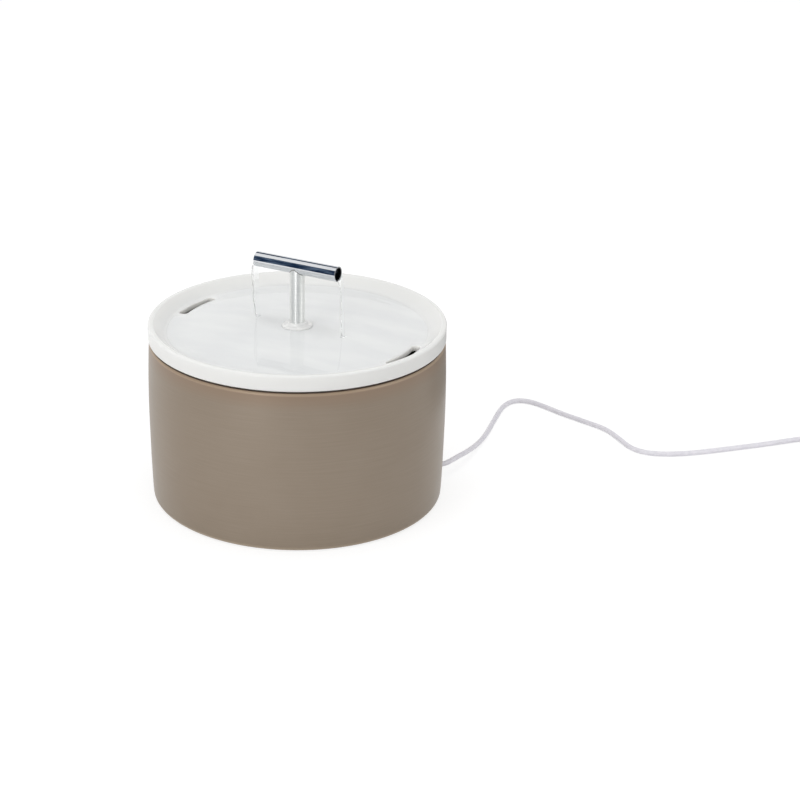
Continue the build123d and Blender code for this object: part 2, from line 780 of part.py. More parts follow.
outlet_x = cos(radians(outlet_angle))
outlet_y = sin(radians(outlet_angle))
tip = (nose_tip * outlet_x, nose_tip * outlet_y)
coil_centre = (tip[0] + coil_offset[0], tip[1] + coil_offset[1])
coil_base = coil_lift + cord_radius
coil_outer = coil_radius + (coil_columns / 2 - 0.25) * 2 * cord_radius   # centreline of the outer turn
coil_top = coil_lift + (2 * coil_layers - 1) * cord_radius
coil_width = (coil_columns + 0.5) * 2 * cord_radius                       # the upper layer lies half a turn out
coil_height = 2 * coil_layers * cord_radius
tail_x = coil_centre[0] + coil_outer
plug_x = tail_x + plug_offset
plug_z = plug_thickness / 2
relief_y = coil_centre[1] - tail_reach
plug_rear_y = relief_y - plug_relief_length
plug_face_y = plug_rear_y - plug_length

# Way of the cord over the surface: steps in x and y from the tip of the grommet, and heights.
lay = cord_radius
outer_steps = [
    (10.3, 20.9, 9.8), (6.6, 41.0, 7.8), (3.0, 65.5, 5.2), (-2.6, 97.1, 3.2),
    (-10.4, 131.9, lay), (-16.2, 157.5, lay), (-18.7, 171.7, lay), (-14.9, 183.0, lay),
    (-5.8, 189.2, lay), (8.0, 188.4, lay), (34.8, 178.3, lay), (63.6, 170.9, lay),
    (87.4, 164.0, lay), (106.4, 148.5, lay), (124.3, 134.7, lay), (143.8, 135.1, lay),
    (169.9, 149.9, lay), (198.1, 177.0, lay), (226.5, 207.6, lay), (253.5, 238.6, 2.6),
]
coil_start = radians(coil_start_angle)
outer_route = [
    (*tip, outlet_height), (tip[0] + exit_run * outlet_x, tip[1] + exit_run * outlet_y, outlet_height),
    *[(tip[0] + x, tip[1] + y, z) for x, y, z in outer_steps],
    (coil_centre[0] + coil_outer * cos(coil_start), coil_centre[1] + coil_outer * sin(coil_start), coil_base),
]

# Short lead from the top of the coil to the plug.
tail_route = [
    (tail_x, coil_centre[1], coil_top), (tail_x + tail_step, coil_centre[1] - tail_first, tail_first_height),
    (plug_x, relief_y + tail_last, plug_z), (plug_x, relief_y, plug_z),
]

# Lead inside the tank, from the pump gland to the grommet, in the pump's own direction.
inner_route = [
    (gland_end, 0, gland_height), (gland_end + gland_run, 0, gland_height),
    ((gland_end + tail_tip) / 2, -inner_side, gland_height - inner_dip),
    (tail_tip - gland_run, 0, outlet_height), (tail_tip, 0, outlet_height),
]


def cord_coil():
    """Outer shape of the coiled length."""
    middle = Pos(coil_radius, coil_lift + coil_height / 2)
    section = middle * RectangleRounded(coil_width, coil_height, cord_radius)
    ring = revolve(Plane.XZ * section, Axis.Z)
    return Pos(*coil_centre, 0) * ring


def coil_tie():
    """Strap round the coil."""
    width = coil_width + 2 * tie_slack
    height = coil_height + tie_slack
    middle = Pos(coil_radius, coil_lift + coil_height / 2)
    inner = RectangleRounded(width, height, cord_radius)
    outer = RectangleRounded(width + 2 * tie_thickness, height + 2 * tie_thickness, cord_radius + tie_thickness)
    strap = revolve(Plane.XZ * middle * (outer - inner), Axis.Z, tie_arc)
    return Pos(*coil_centre, 0) * Rot(0, 0, tie_angle) * strap


def plug_relief():
    """Tapered relief on the plug, with rings moulded round it."""
    axis = Axis((plug_x, 0, plug_z), (0, 1, 0))
    thin = cord_radius + plug_relief_tip
    points = [
        (plug_x, plug_rear_y, plug_z), (plug_x + relief_radius, plug_rear_y, plug_z),
        (plug_x + thin, relief_y, plug_z), (plug_x, relief_y, plug_z),
    ]
    body = turned(Polyline(*points, close=True), axis)
    for n in range(plug_relief_rings):
        along = plug_relief_first + plug_relief_pitch * n
        radius = relief_radius + (thin - relief_radius) * along / plug_relief_length
        place = Pos(plug_x, plug_rear_y + along, plug_z) * Rot(90, 0, 0)
        outer = Cylinder(relief_radius, plug_relief_groove)
        body -= place * (outer - Cylinder(radius - plug_relief_groove_depth, plug_relief_groove))
    return body


def plug_body():
    """Flat moulded two-pin plug, waisted towards the cord."""
    rear = Plane((plug_x, plug_rear_y, plug_z), x_dir=(1, 0, 0), z_dir=(0, -1, 0))
    rear_corner = (plug_rear_thickness - plug_side_flat) / 2
    front_corner = (plug_thickness - plug_side_flat) / 2
    small = rear * RectangleRounded(plug_rear_width, plug_rear_thickness, rear_corner)
    large = RectangleRounded(plug_front_width, plug_thickness, front_corner)
    flare = rear.offset(plug_length - plug_grip_length) * large
    body = loft([small, flare])
    body += extrude(flare, plug_grip_length)
    return fillet(body.faces().sort_by(Axis.Y)[0].edges(), plug_face_round)


def plug_pins():
    """Two round pins."""
    pin = Cylinder(plug_pin_radius, plug_pin_length)
    pin = fillet(pin.edges().group_by(Axis.Z)[-1], plug_pin_round)
    y = plug_face_y - plug_pin_length / 2
    half = plug_pin_spacing / 2
    return Compound([Pos(plug_x + side * half, y, plug_z) * Rot(90, 0, 0) * pin for side in (-1, 1)])


# ---------------------------------------------------------------- nodes

def nodes():
    """Every separate piece, by name."""
    wall = tank()
    pieces = {
        "tank": wall,
        "foot_pads": foot_pads(),
        "outlet_grommet": outlet_grommet(wall),
        "riser_sleeve": riser_sleeve(),
        "lid": lid(),
        "spout_collar": spout_collar(),
        "collar_nut": collar_nut(),
        "spout_stem": spout_stem(),
        "spout_bar": spout_bar(),
        "cord_outer": cord_tube("cord_outer", outer_route),
        "cord_coil": cord_coil(),
        "cord_tail": cord_tube("cord_tail", tail_route),
        "coil_tie": coil_tie(),
        "plug_relief": plug_relief(),
        "plug_body": plug_body(),
        "plug_pins": plug_pins(),
    }
    pump = {
        "pump_housing": pump_housing(),
        "suction_cups": suction_cups(),
        "chamber_seal": chamber_seal(),
        "chamber_cover": chamber_cover(),
        "shaft_seat_front": shaft_seat(pump_front - seat_length),
        "shaft_seat_rear": shaft_seat(can_end),
        "impeller_shaft": impeller_shaft(),
        "rotor_magnet": rotor_magnet(),
        "impeller": impeller(),
        "stator_core": stator_core(),
        "coil_former": coil_former(),
        "stator_coil": stator_coil(),
        "potting": potting(),
        "pump_gland": pump_gland(),
        "intake_grille": intake_grille(),
        "filter_sponge": filter_sponge(),
        "flow_gate": flow_gate(),
        "cord_inner": cord_tube("cord_inner", inner_route),
    }
    pieces.update({name: at_outlet(shape) for name, shape in pump.items()})
    return pieces


os.makedirs("parts", exist_ok=True)
for node, shape in nodes().items():
    export_step(shape, f"parts/{node}.step")
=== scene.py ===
from math import cos, exp, pi, radians, sin, sqrt

import bmesh
import bpy
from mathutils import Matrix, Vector, noise


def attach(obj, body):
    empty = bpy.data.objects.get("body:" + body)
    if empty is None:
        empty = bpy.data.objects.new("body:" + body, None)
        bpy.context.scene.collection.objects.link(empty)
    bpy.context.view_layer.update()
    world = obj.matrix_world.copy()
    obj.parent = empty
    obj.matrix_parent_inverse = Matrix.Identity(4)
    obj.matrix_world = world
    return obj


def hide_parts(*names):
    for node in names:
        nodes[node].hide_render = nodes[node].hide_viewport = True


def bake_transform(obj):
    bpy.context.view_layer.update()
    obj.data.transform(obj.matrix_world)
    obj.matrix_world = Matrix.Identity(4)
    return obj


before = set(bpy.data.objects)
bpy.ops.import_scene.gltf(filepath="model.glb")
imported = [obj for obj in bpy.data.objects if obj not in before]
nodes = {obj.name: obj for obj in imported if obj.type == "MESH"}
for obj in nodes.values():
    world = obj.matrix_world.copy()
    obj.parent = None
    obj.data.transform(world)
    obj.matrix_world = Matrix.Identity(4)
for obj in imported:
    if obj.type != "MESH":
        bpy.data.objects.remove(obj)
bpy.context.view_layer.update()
print("frame loaded:", len(nodes), "nodes")


# small helpers

def tint(red, green, blue):  # screen colour, 0 to 255, to the linear colour that a socket takes
    parts = [value / 255 for value in (red, green, blue)]
    linear = [v / 12.92 if v <= 0.04045 else ((v + 0.055) / 1.055) ** 2.4 for v in parts]
    return (*linear, 1.0)


def blankMaterial(name):
    material = bpy.data.materials.new(name)
    material.use_nodes = True
    tree = material.node_tree
    return material, tree, tree.nodes["Principled BSDF"]


def setSockets(shader, sockets):
    for name, value in sockets.items():
        shader.inputs[name].default_value = value


def stretchedPoint(tree, stretch):
    place = tree.nodes.new("ShaderNodeTexCoord")
    mapping = tree.nodes.new("ShaderNodeMapping")
    mapping.inputs["Scale"].default_value = stretch
    tree.links.new(place.outputs["Object"], mapping.inputs["Vector"])
    return mapping.outputs["Vector"]


def grain(tree, scale, stretch=(1, 1, 1), detail=3.0):  # noise in the part's own metres
    texture = tree.nodes.new("ShaderNodeTexNoise")
    setSockets(texture, {"Scale": scale, "Detail": detail})
    tree.links.new(stretchedPoint(tree, stretch), texture.inputs["Vector"])
    return texture.outputs["Fac"]


def colourRamp(tree, source, stops):
    ramp = tree.nodes.new("ShaderNodeValToRGB")
    elements = ramp.color_ramp.elements
    while len(elements) < len(stops):
        elements.new(1.0)
    for element, (position, colour) in zip(elements, stops):
        element.position = position
        element.color = colour
    tree.links.new(source, ramp.inputs["Fac"])
    return ramp.outputs["Color"]


def mottled(tree, source, look, dark="dark", light="light", stops=(0.35, 0.65)):
    return colourRamp(tree, source, [(stops[0], look[dark]), (stops[1], look[light])])


def valueRange(tree, source, low, high, fromLow=0.3, fromHigh=0.7):
    spread = tree.nodes.new("ShaderNodeMapRange")
    setSockets(spread, {"From Min": fromLow, "From Max": fromHigh, "To Min": low, "To Max": high})
    tree.links.new(source, spread.inputs["Value"])
    return spread.outputs["Result"]


def blendColours(tree, share, first, second):  # share and second: a socket or a plain value
    mix = tree.nodes.new("ShaderNodeMix")
    mix.data_type = "RGBA"
    tree.links.new(first, mix.inputs["A"])
    for value, socket in ((share, mix.inputs["Factor"]), (second, mix.inputs["B"])):
        if isinstance(value, bpy.types.NodeSocket):
            tree.links.new(value, socket)
        else:
            socket.default_value = value
    return mix.outputs["Result"]


def addBump(tree, shader, heights):  # heights: (socket, strength, distance) from coarse to fine
    normal = None
    for height, strength, distance in heights:
        bump = tree.nodes.new("ShaderNodeBump")
        setSockets(bump, {"Strength": strength, "Distance": distance})
        tree.links.new(height, bump.inputs["Height"])
        if normal:
            tree.links.new(normal, bump.inputs["Normal"])
        normal = bump.outputs["Normal"]
    tree.links.new(normal, shader.inputs["Normal"])


def largerOf(tree, first, second):
    larger = tree.nodes.new("ShaderNodeMath")
    larger.operation = "MAXIMUM"
    tree.links.new(first, larger.inputs[0])
    tree.links.new(second, larger.inputs[1])
    return larger.outputs["Value"]


def mixShaders(tree, share, first, second):
    mix = tree.nodes.new("ShaderNodeMixShader")
    tree.links.new(share, mix.inputs["Fac"])
    tree.links.new(first, mix.inputs[1])
    tree.links.new(second, mix.inputs[2])
    return mix.outputs["Shader"]


def heightBand(tree, low, high):  # 0 at one height of the part, 1 at the other
    place = tree.nodes.new("ShaderNodeTexCoord")
    split = tree.nodes.new("ShaderNodeSeparateXYZ")
    tree.links.new(place.outputs["Object"], split.inputs["Vector"])
    return valueRange(tree, split.outputs["Z"], 0.0, 1.0, low, high)


def reachBand(tree, near, far):  # 0 at one distance from the part's axis, 1 at the other
    place = tree.nodes.new("ShaderNodeTexCoord")
    flat = tree.nodes.new("ShaderNodeVectorMath")
    flat.operation = "MULTIPLY"
    flat.inputs[1].default_value = (1, 1, 0)
    tree.links.new(place.outputs["Object"], flat.inputs[0])
    reach = tree.nodes.new("ShaderNodeVectorMath")
    reach.operation = "LENGTH"
    tree.links.new(flat.outputs["Vector"], reach.inputs[0])
    return valueRange(tree, reach.outputs["Value"], 0.0, 1.0, near, far)


def seenStraight(tree):  # 1 for what the eye, a mirror or glass looks at, 0 for soft bounced light
    path = tree.nodes.new("ShaderNodeLightPath")
    direct = largerOf(tree, path.outputs["Is Camera Ray"], path.outputs["Is Glossy Ray"])
    return largerOf(tree, direct, path.outputs["Is Transmission Ray"])


def meshPiece(name, build, material, smooth=True):
    shape = bmesh.new()
    build(shape)
    bmesh.ops.recalc_face_normals(shape, faces=shape.faces)
    for face in shape.faces:
        face.smooth = smooth
    mesh = bpy.data.meshes.new(name)
    shape.to_mesh(mesh)
    shape.free()
    mesh.materials.append(material)
    piece = bpy.data.objects.new(name, mesh)
    bpy.context.scene.collection.objects.link(piece)
    return piece


def addRing(shape, points):
    return [shape.verts.new(point) for point in points]


def bridge(shape, lower, upper):  # band of faces between two rings
    for n in range(len(lower)):
        m = (n + 1) % len(lower)
        shape.faces.new((lower[n], lower[m], upper[m], upper[n]))


def fullTurn(sides):
    return [2 * pi * n / sides for n in range(sides)]


def joinRings(shape, rings):  # closed skin over rings of points, with a fan at each end
    layers = [addRing(shape, ring) for ring in rings]
    for lower, upper in zip(layers, layers[1:]):
        bridge(shape, lower, upper)
    for ring in (layers[0], layers[-1]):
        hub = shape.verts.new(sum((vertex.co for vertex in ring), Vector()) / len(ring))
        for n in range(len(ring)):
            shape.faces.new((ring[n], ring[(n + 1) % len(ring)], hub))


# camera first, then the cord

cameraLook = {
    "lens": 99.0,
    "sensor": 36.0,
    "distance": 1.868,
    "azimuth": 30.5,
    "elevation": 22.84,
    "target": (0.0, 0.0, 0.082),
    "shift": 0.1284,           # puts the tank left of the middle, with room for its cord
    "clipEnd": 50.0,
}


def makeCamera(look):
    data = bpy.data.cameras.new("camera")
    data.lens = look["lens"]
    data.sensor_width = look["sensor"]
    data.shift_x = look["shift"]
    data.clip_end = look["clipEnd"]
    camera = bpy.data.objects.new("camera", data)
    bpy.context.scene.collection.objects.link(camera)
    turn, rise = radians(look["azimuth"]), radians(look["elevation"])
    away = Vector((sin(turn) * cos(rise), -cos(turn) * cos(rise), sin(rise)))
    camera.location = Vector(look["target"]) + away * look["distance"]
    camera.rotation_euler = (-away).to_track_quat("-Z", "Y").to_euler()
    bpy.context.scene.camera = camera


makeCamera(cameraLook)
print("camera placed")

cordLook = {
    "radius": 0.00225,
    "length": 1.42,            # outside the tank, from the grommet to the plug
    "route": [                 # from the tip of the grommet, along the table
        (0.0940, 0.0831, 0.0110), (0.0977, 0.0864, 0.0110), (0.1002, 0.0952, 0.0115),
        (0.1008, 0.1085, 0.0107), (0.1002, 0.1238, 0.0083), (0.0987, 0.1463, 0.0052),
        (0.0944, 0.1758, 0.0032), (0.0846, 0.2140, 0.00225), (0.0790, 0.2392, 0.00225),
        (0.0775, 0.2517, 0.00225), (0.0802, 0.2649, 0.00225), (0.0895, 0.2707, 0.00225),
        (0.1035, 0.2696, 0.00225), (0.1298, 0.2604, 0.00225), (0.1584, 0.2532, 0.00225),
        (0.1816, 0.2474, 0.00225), (0.1991, 0.2345, 0.00225), (0.2187, 0.2177, 0.00225),
        (0.2391, 0.2166, 0.00225), (0.2647, 0.2322, 0.00225), (0.2923, 0.2604, 0.00225),
        (0.3207, 0.2910, 0.00225), (0.3477, 0.3220, 0.0026),
    ],
    "coilCentre": (0.394, 0.316),
    "coilOuter": 0.030625,     # centreline of the outer turn
    "coilBase": 0.00315,       # centreline of the lower layer
    "coilLift": 0.0045,        # from one layer to the next
    "coilPitch": 0.0045,       # from one turn to the next
    "coilStart": 120.0,
    "turnsIn": 2.5,
    "turnsUp": 1 / 3,
    "pointsPerTurn": 18,
    "roundSteps": 6,
    "stepsPerPoint": 10,
    "tail": [(0.425425, 0.3035, 0.0068), (0.424925, 0.2870, 0.00685), (0.424925, 0.2760, 0.00685)],
}


def coilPoint(look, turns):  # centreline of the coil after so many turns, wound clockwise
    turnsIn, turnsUp = look["turnsIn"], look["turnsUp"]
    inner = look["coilOuter"] - look["coilPitch"] * turnsIn
    if turns <= turnsIn:
        radius = look["coilOuter"] - look["coilPitch"] * turns
        height = look["coilBase"]
    elif turns <= turnsIn + turnsUp:
        radius = inner
        height = look["coilBase"] + look["coilLift"] * (turns - turnsIn) / turnsUp
    else:
        radius = inner + look["coilPitch"] * (turns - turnsIn - turnsUp)
        height = look["coilBase"] + look["coilLift"]
    angle = radians(look["coilStart"]) - 2 * pi * turns
    inside = 0.75 + 0.25 * cos(2 * pi / look["pointsPerTurn"])  # the spline cuts inside its points
    spread = radius / inside
    x, y = look["coilCentre"]
    return (x + spread * cos(angle), y + spread * sin(angle), height)


def makeCord(look, material):
    total = 2 * look["turnsIn"] + look["turnsUp"]
    steps = round(total * look["pointsPerTurn"])
    coil = [coilPoint(look, total * n / steps) for n in range(steps + 1)]
    points = look["route"] + coil + look["tail"]
    curve = bpy.data.curves.new("powerCord", "CURVE")
    curve.dimensions = "3D"
    curve.bevel_depth = look["radius"]
    curve.bevel_resolution = look["roundSteps"]
    curve.resolution_u = look["stepsPerPoint"]
    spline = curve.splines.new("NURBS")
    spline.points.add(len(points) - 1)
    for knot, point in zip(spline.points, points):
        knot.co = (*point, 1.0)
    spline.order_u = 3
    spline.use_endpoint_u = True
    curve.materials.append(material)
    cord = bpy.data.objects.new("powerCord", curve)
    bpy.context.scene.collection.objects.link(cord)
    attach(cord, "tank_body")
    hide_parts("cord_outer", "cord_coil", "cord_tail")


cordFinish = {
    "light": tint(236, 234, 240),
    "dark": tint(227, 225, 232),
    "roughness": 0.42,
    "specular": 0.4,
    "mottle": 260.0,
    "bumpScale": 1400.0,
    "bump": (0.12, 0.0002),    # strength and depth
}


def cordMaterial(look):
    material, tree, shader = blankMaterial("pvcCord")
    tree.links.new(mottled(tree, grain(tree, look["mottle"]), look), shader.inputs["Base Color"])
    addBump(tree, shader, [(grain(tree, look["bumpScale"]), *look["bump"])])
    setSockets(shader, {"Roughness": look["roughness"], "Specular IOR Level": look["specular"]})
    return material


cordPlastic = cordMaterial(cordFinish)
makeCord(cordLook, cordPlastic)
print("cord laid")


# ceramic glazes

tankFinish = {  # each band runs from the height where its colour starts to the height where it is full
    "light": tint(146, 133, 118),
    "dark": tint(139, 125, 109),
    "lineLight": tint(149, 135, 120),
    "lineDark": tint(136, 122, 106),
    "paintedReflection": tint(142, 123, 105),      # painted reflection: a darker, warmer band below the rim
    "rim": tint(165, 144, 122),       # lighter where the glaze thins over the edge, and a painted highlight along the rim's rounding
    "gapShade": tint(84, 68, 56),         # painted shade in the dark gap under the lid
    "foot": tint(166, 150, 131),
    "paintedReflectionBand": (0.1240, 0.1350),
    "rimBand": (0.1366, 0.1376),
    "gapShadeBand": (0.13895, 0.1392),
    "footBand": (0.0042, 0.0024),
    "cloudScale": 9.0,
    "cloudBump": (0.25, 0.0006),      # strength and depth
    "brushScale": 26.0,
    "brushStretch": (1, 1, 60),       # faint level lines left by the wheel
    "brushDetail": 4.0,
    "brushBump": (0.10, 0.0001),
    "lineStops": (0.3, 0.7),
    "lineShare": 0.35,
    "roughness": (0.32, 0.42),
    "metallic": 0.06,
    "specular": 0.25,
    "coat": 0.05,
    "coatRoughness": 0.22,
}


def tankMaterial(look):
    material, tree, shader = blankMaterial("tankGlaze")
    clouds = grain(tree, look["cloudScale"])
    brush = grain(tree, look["brushScale"], look["brushStretch"], look["brushDetail"])
    lines = mottled(tree, brush, look, "lineDark", "lineLight", look["lineStops"])
    colour = blendColours(tree, look["lineShare"], mottled(tree, clouds, look), lines)
    # bands: painted reflection below the rim, glaze break with painted highlight on the rim's rounding,
    # painted shade in the gap under the lid, bare clay at the foot
    for shade in ("paintedReflection", "rim", "gapShade", "foot"):
        colour = blendColours(tree, heightBand(tree, *look[shade + "Band"]), colour, look[shade])
    tree.links.new(colour, shader.inputs["Base Color"])
    tree.links.new(valueRange(tree, clouds, *look["roughness"]), shader.inputs["Roughness"])
    addBump(tree, shader, [(clouds, *look["cloudBump"]), (brush, *look["brushBump"])])
    setSockets(shader, {"Metallic": look["metallic"], "Specular IOR Level": look["specular"],
                        "Coat Weight": look["coat"], "Coat Roughness": look["coatRoughness"]})
    return material


lidFinish = {
    "light": tint(235, 236, 235),
    "dark": tint(229, 230, 230),
    "slot": tint(252, 250, 245),      # painted light on the shaded walls of the drain slots
    "slotBand": (0.1462, 0.1456),
    "rim": tint(231, 231, 229),       # rim and outer wall, a touch creamier than the tray and darker as painted shade on the rim's slope and outer wall
    "rimShadeReach": (0.1060, 0.1170),
    "streakScale": 18.0,
    "streakStretch": (1, 3, 1),
    "streakDetail": 4.0,
    "cloudScale": 30.0,
    "cloudBump": (0.15, 0.0004),      # strength and depth
    "roughness": (0.14, 0.22),
    "coat": 0.03,
    "coatRoughness": 0.06,
    "specular": 0.12,
    "glow": 0.5,                      # light that spreads inside the white body
    "glowScale": 0.006,
    "glowRadius": (1.0, 1.0, 1.0),
}


def lidMaterial(look):
    material, tree, shader = blankMaterial("lidGlaze")
    streaks = grain(tree, look["streakScale"], look["streakStretch"], look["streakDetail"])
    colour = mottled(tree, streaks, look)
    # painted light on the walls of the drain slots
    colour = blendColours(tree, heightBand(tree, *look["slotBand"]), colour, look["slot"])
    # painted shade over the rim's slope and outer wall, with a touch of cream
    colour = blendColours(tree, reachBand(tree, *look["rimShadeReach"]), colour, look["rim"])
    tree.links.new(colour, shader.inputs["Base Color"])
    tree.links.new(valueRange(tree, streaks, *look["roughness"]), shader.inputs["Roughness"])
    addBump(tree, shader, [(grain(tree, look["cloudScale"]), *look["cloudBump"])])
    setSockets(shader, {"Coat Weight": look["coat"], "Coat Roughness": look["coatRoughness"],
                        "Specular IOR Level": look["specular"], "Subsurface Weight": look["glow"],
                        "Subsurface Scale": look["glowScale"], "Subsurface Radius": look["glowRadius"]})
    return material


# metal, plastics and the rest

steelFinish = {
    "light": tint(226, 228, 230),
    "dark": tint(212, 214, 218),
    "roughness": (0.02, 0.05),
    "brushScale": 160.0,
    "brushStretch": (1, 14, 14),
    "brushBump": (0.06, 0.00006),     # strength and depth
    "spotScale": 620.0,
    "spotBump": (0.05, 0.00004),
}


def steelMaterial(look):
    material, tree, shader = blankMaterial("polishedSteel")
    brush = grain(tree, look["brushScale"], look["brushStretch"])
    spots = grain(tree, look["spotScale"])
    tree.links.new(mottled(tree, brush, look), shader.inputs["Base Color"])
    tree.links.new(valueRange(tree, brush, *look["roughness"]), shader.inputs["Roughness"])
    addBump(tree, shader, [(brush, *look["brushBump"]), (spots, *look["spotBump"])])
    setSockets(shader, {"Metallic": 1.0})
    return material


stemFinish = {
    "light": tint(240, 241, 239),
    "dark": tint(232, 234, 232),
    "roughness": (0.42, 0.46),
    "metallic": 0.64,
    "anisotropy": 0.9,
    "turn": 0.25,                     # lays the sheen along the stem
    "brushScale": 160.0,
    "brushStretch": (1, 1, 6),
}


def stemMaterial(look):
    material, tree, shader = blankMaterial("brushedSteel")
    brush = grain(tree, look["brushScale"], look["brushStretch"])
    tree.links.new(mottled(tree, brush, look), shader.inputs["Base Color"])
    tree.links.new(valueRange(tree, brush, *look["roughness"]), shader.inputs["Roughness"])
    tangent = tree.nodes.new("ShaderNodeTangent")
    tangent.direction_type = "RADIAL"
    tangent.axis = "Z"
    tree.links.new(tangent.outputs["Tangent"], shader.inputs["Tangent"])
    setSockets(shader, {"Metallic": look["metallic"], "Anisotropic": look["anisotropy"],
                        "Anisotropic Rotation": look["turn"]})
    return material


bumpFineness = 3  # of a plain finish, against its mottle
bumpDepth = 0.0002

# bump is its strength, sockets are the values that are the same all over the piece
plainFinishes = {
    "collar_plastic": {
        "light": tint(238, 238, 236), "dark": tint(230, 230, 229), "mottle": 90.0,
        "roughness": (0.22, 0.32), "bump": 0.05, "sockets": {"Coat Weight": 0.2, "Coat Roughness": 0.1},
    },
    "silicone": {
        "light": tint(214, 214, 216), "dark": tint(200, 200, 204), "mottle": 120.0,
        "roughness": (0.45, 0.6), "bump": 0.10, "sockets": {"Sheen Weight": 0.1},
    },
    "pump_plastic": {
        "light": tint(52, 54, 58), "dark": tint(42, 44, 48), "mottle": 500.0,
        "roughness": (0.42, 0.58), "bump": 0.25, "sockets": {"Specular IOR Level": 0.4},
    },
    "black_rubber": {
        "light": tint(36, 36, 37), "dark": tint(26, 26, 27), "mottle": 300.0,
        "roughness": (0.6, 0.75), "bump": 0.20, "sockets": {"Sheen Weight": 0.15},
    },
    "pin_ceramic": {
        "light": tint(240, 238, 230), "dark": tint(230, 227, 218), "mottle": 200.0,
        "roughness": (0.2, 0.3), "bump": 0.04, "sockets": {"Coat Weight": 0.3},
    },
    "magnet_ferrite": {
        "light": tint(70, 70, 74), "dark": tint(50, 50, 54), "mottle": 700.0,
        "roughness": (0.5, 0.65), "bump": 0.30, "sockets": {"Metallic": 0.3},
    },
    "core_steel": {
        "light": tint(150, 152, 156), "dark": tint(120, 122, 128), "mottle": 60.0,
        "roughness": (0.35, 0.5), "bump": 0.15, "sockets": {"Metallic": 1.0},
    },
    "winding_copper": {
        "light": tint(196, 118, 74), "dark": tint(160, 84, 48), "mottle": 400.0,
        "roughness": (0.25, 0.4), "bump": 0.50, "sockets": {"Metallic": 1.0},
    },
    "potting_resin": {
        "light": tint(30, 30, 32), "dark": tint(22, 22, 24), "mottle": 60.0,
        "roughness": (0.15, 0.3), "bump": 0.08, "sockets": {"Coat Weight": 0.3},
    },
    "foam": {
        "light": tint(72, 74, 78), "dark": tint(34, 35, 38), "mottle": 900.0,
        "roughness": (0.85, 0.95), "bump": 0.90, "sockets": {"Sheen Weight": 0.3},
    },
    "plug_white": {
        "light": tint(236, 236, 238), "dark": tint(228, 228, 232), "mottle": 160.0,
        "roughness": (0.3, 0.42), "bump": 0.08, "sockets": {"Specular IOR Level": 0.45},
    },
    "pin_nickel": {
        "light": tint(214, 208, 196), "dark": tint(196, 190, 178), "mottle": 220.0,
        "roughness": (0.16, 0.26), "bump": 0.06, "sockets": {"Metallic": 1.0},
    },
}


def plainMaterial(name, look):
    material, tree, shader = blankMaterial(name)
    mottle = grain(tree, look["mottle"])
    fine = grain(tree, bumpFineness * look["mottle"])
    tree.links.new(mottled(tree, mottle, look), shader.inputs["Base Color"])
    tree.links.new(valueRange(tree, mottle, *look["roughness"]), shader.inputs["Roughness"])
    addBump(tree, shader, [(fine, look["bump"], bumpDepth)])
    setSockets(shader, look["sockets"])
    return material


finishes = {name: plainMaterial(name, look) for name, look in plainFinishes.items()}
finishes["tank_glaze"] = tankMaterial(tankFinish)
finishes["lid_glaze"] = lidMaterial(lidFinish)
finishes["spout_steel"] = steelMaterial(steelFinish)
finishes["cord_white"] = cordPlastic

for node in nodes.values():
    for place in node.material_slots:
        place.material = finishes[place.material.name.split(".")[0]]
nodes["spout_stem"].material_slots[0].material = stemMaterial(stemFinish)
print("finishes given to the packed pieces")


# tank wall with a fuller foot than the solid's: tighter rounding, closer to the table

tankLook = {
    "foot": (0.1219, 0.0010),         # the wall's arc: radius and height at foot, middle and rim
    "middle": (0.1255, 0.07015),
    "rim": (0.1244, 0.1393),
    "thick": 0.0055,
    "spread": 0.0012,                 # the wall moves out by this much at the foot
    "spreadRange": (0.008, 0.062),
    "spreadFade": 1.5,
    "footRound": 0.0040,
    "footHeight": 0.0001,
    "rimOuterRound": 0.0022,
    "rimInnerRound": 0.0013,
    "floorHeight": 0.0065,
    "wellRound": 0.0040,
    "footRing": 0.0060,               # width of the sloping ring outside the flat underside
    "hub": 0.002,                     # small ring in the middle, closed by a fan
    "wallSteps": 40,
    "roundSteps": 10,
    "sides": 256,
}


def arcThrough(first, second, third):  # centre and radius of the circle through three points
    (x1, z1), (x2, z2), (x3, z3) = first, second, third
    run2, rise2, run3, rise3 = x2 - x1, z2 - z1, x3 - x1, z3 - z1
    half2 = (x2 ** 2 - x1 ** 2 + z2 ** 2 - z1 ** 2) / 2
    half3 = (x3 ** 2 - x1 ** 2 + z3 ** 2 - z1 ** 2) / 2
    scale = run2 * rise3 - rise2 * run3
    x, z = (half2 * rise3 - half3 * rise2) / scale, (run2 * half3 - run3 * half2) / scale
    return x, z, sqrt((x1 - x) ** 2 + (z1 - z) ** 2)


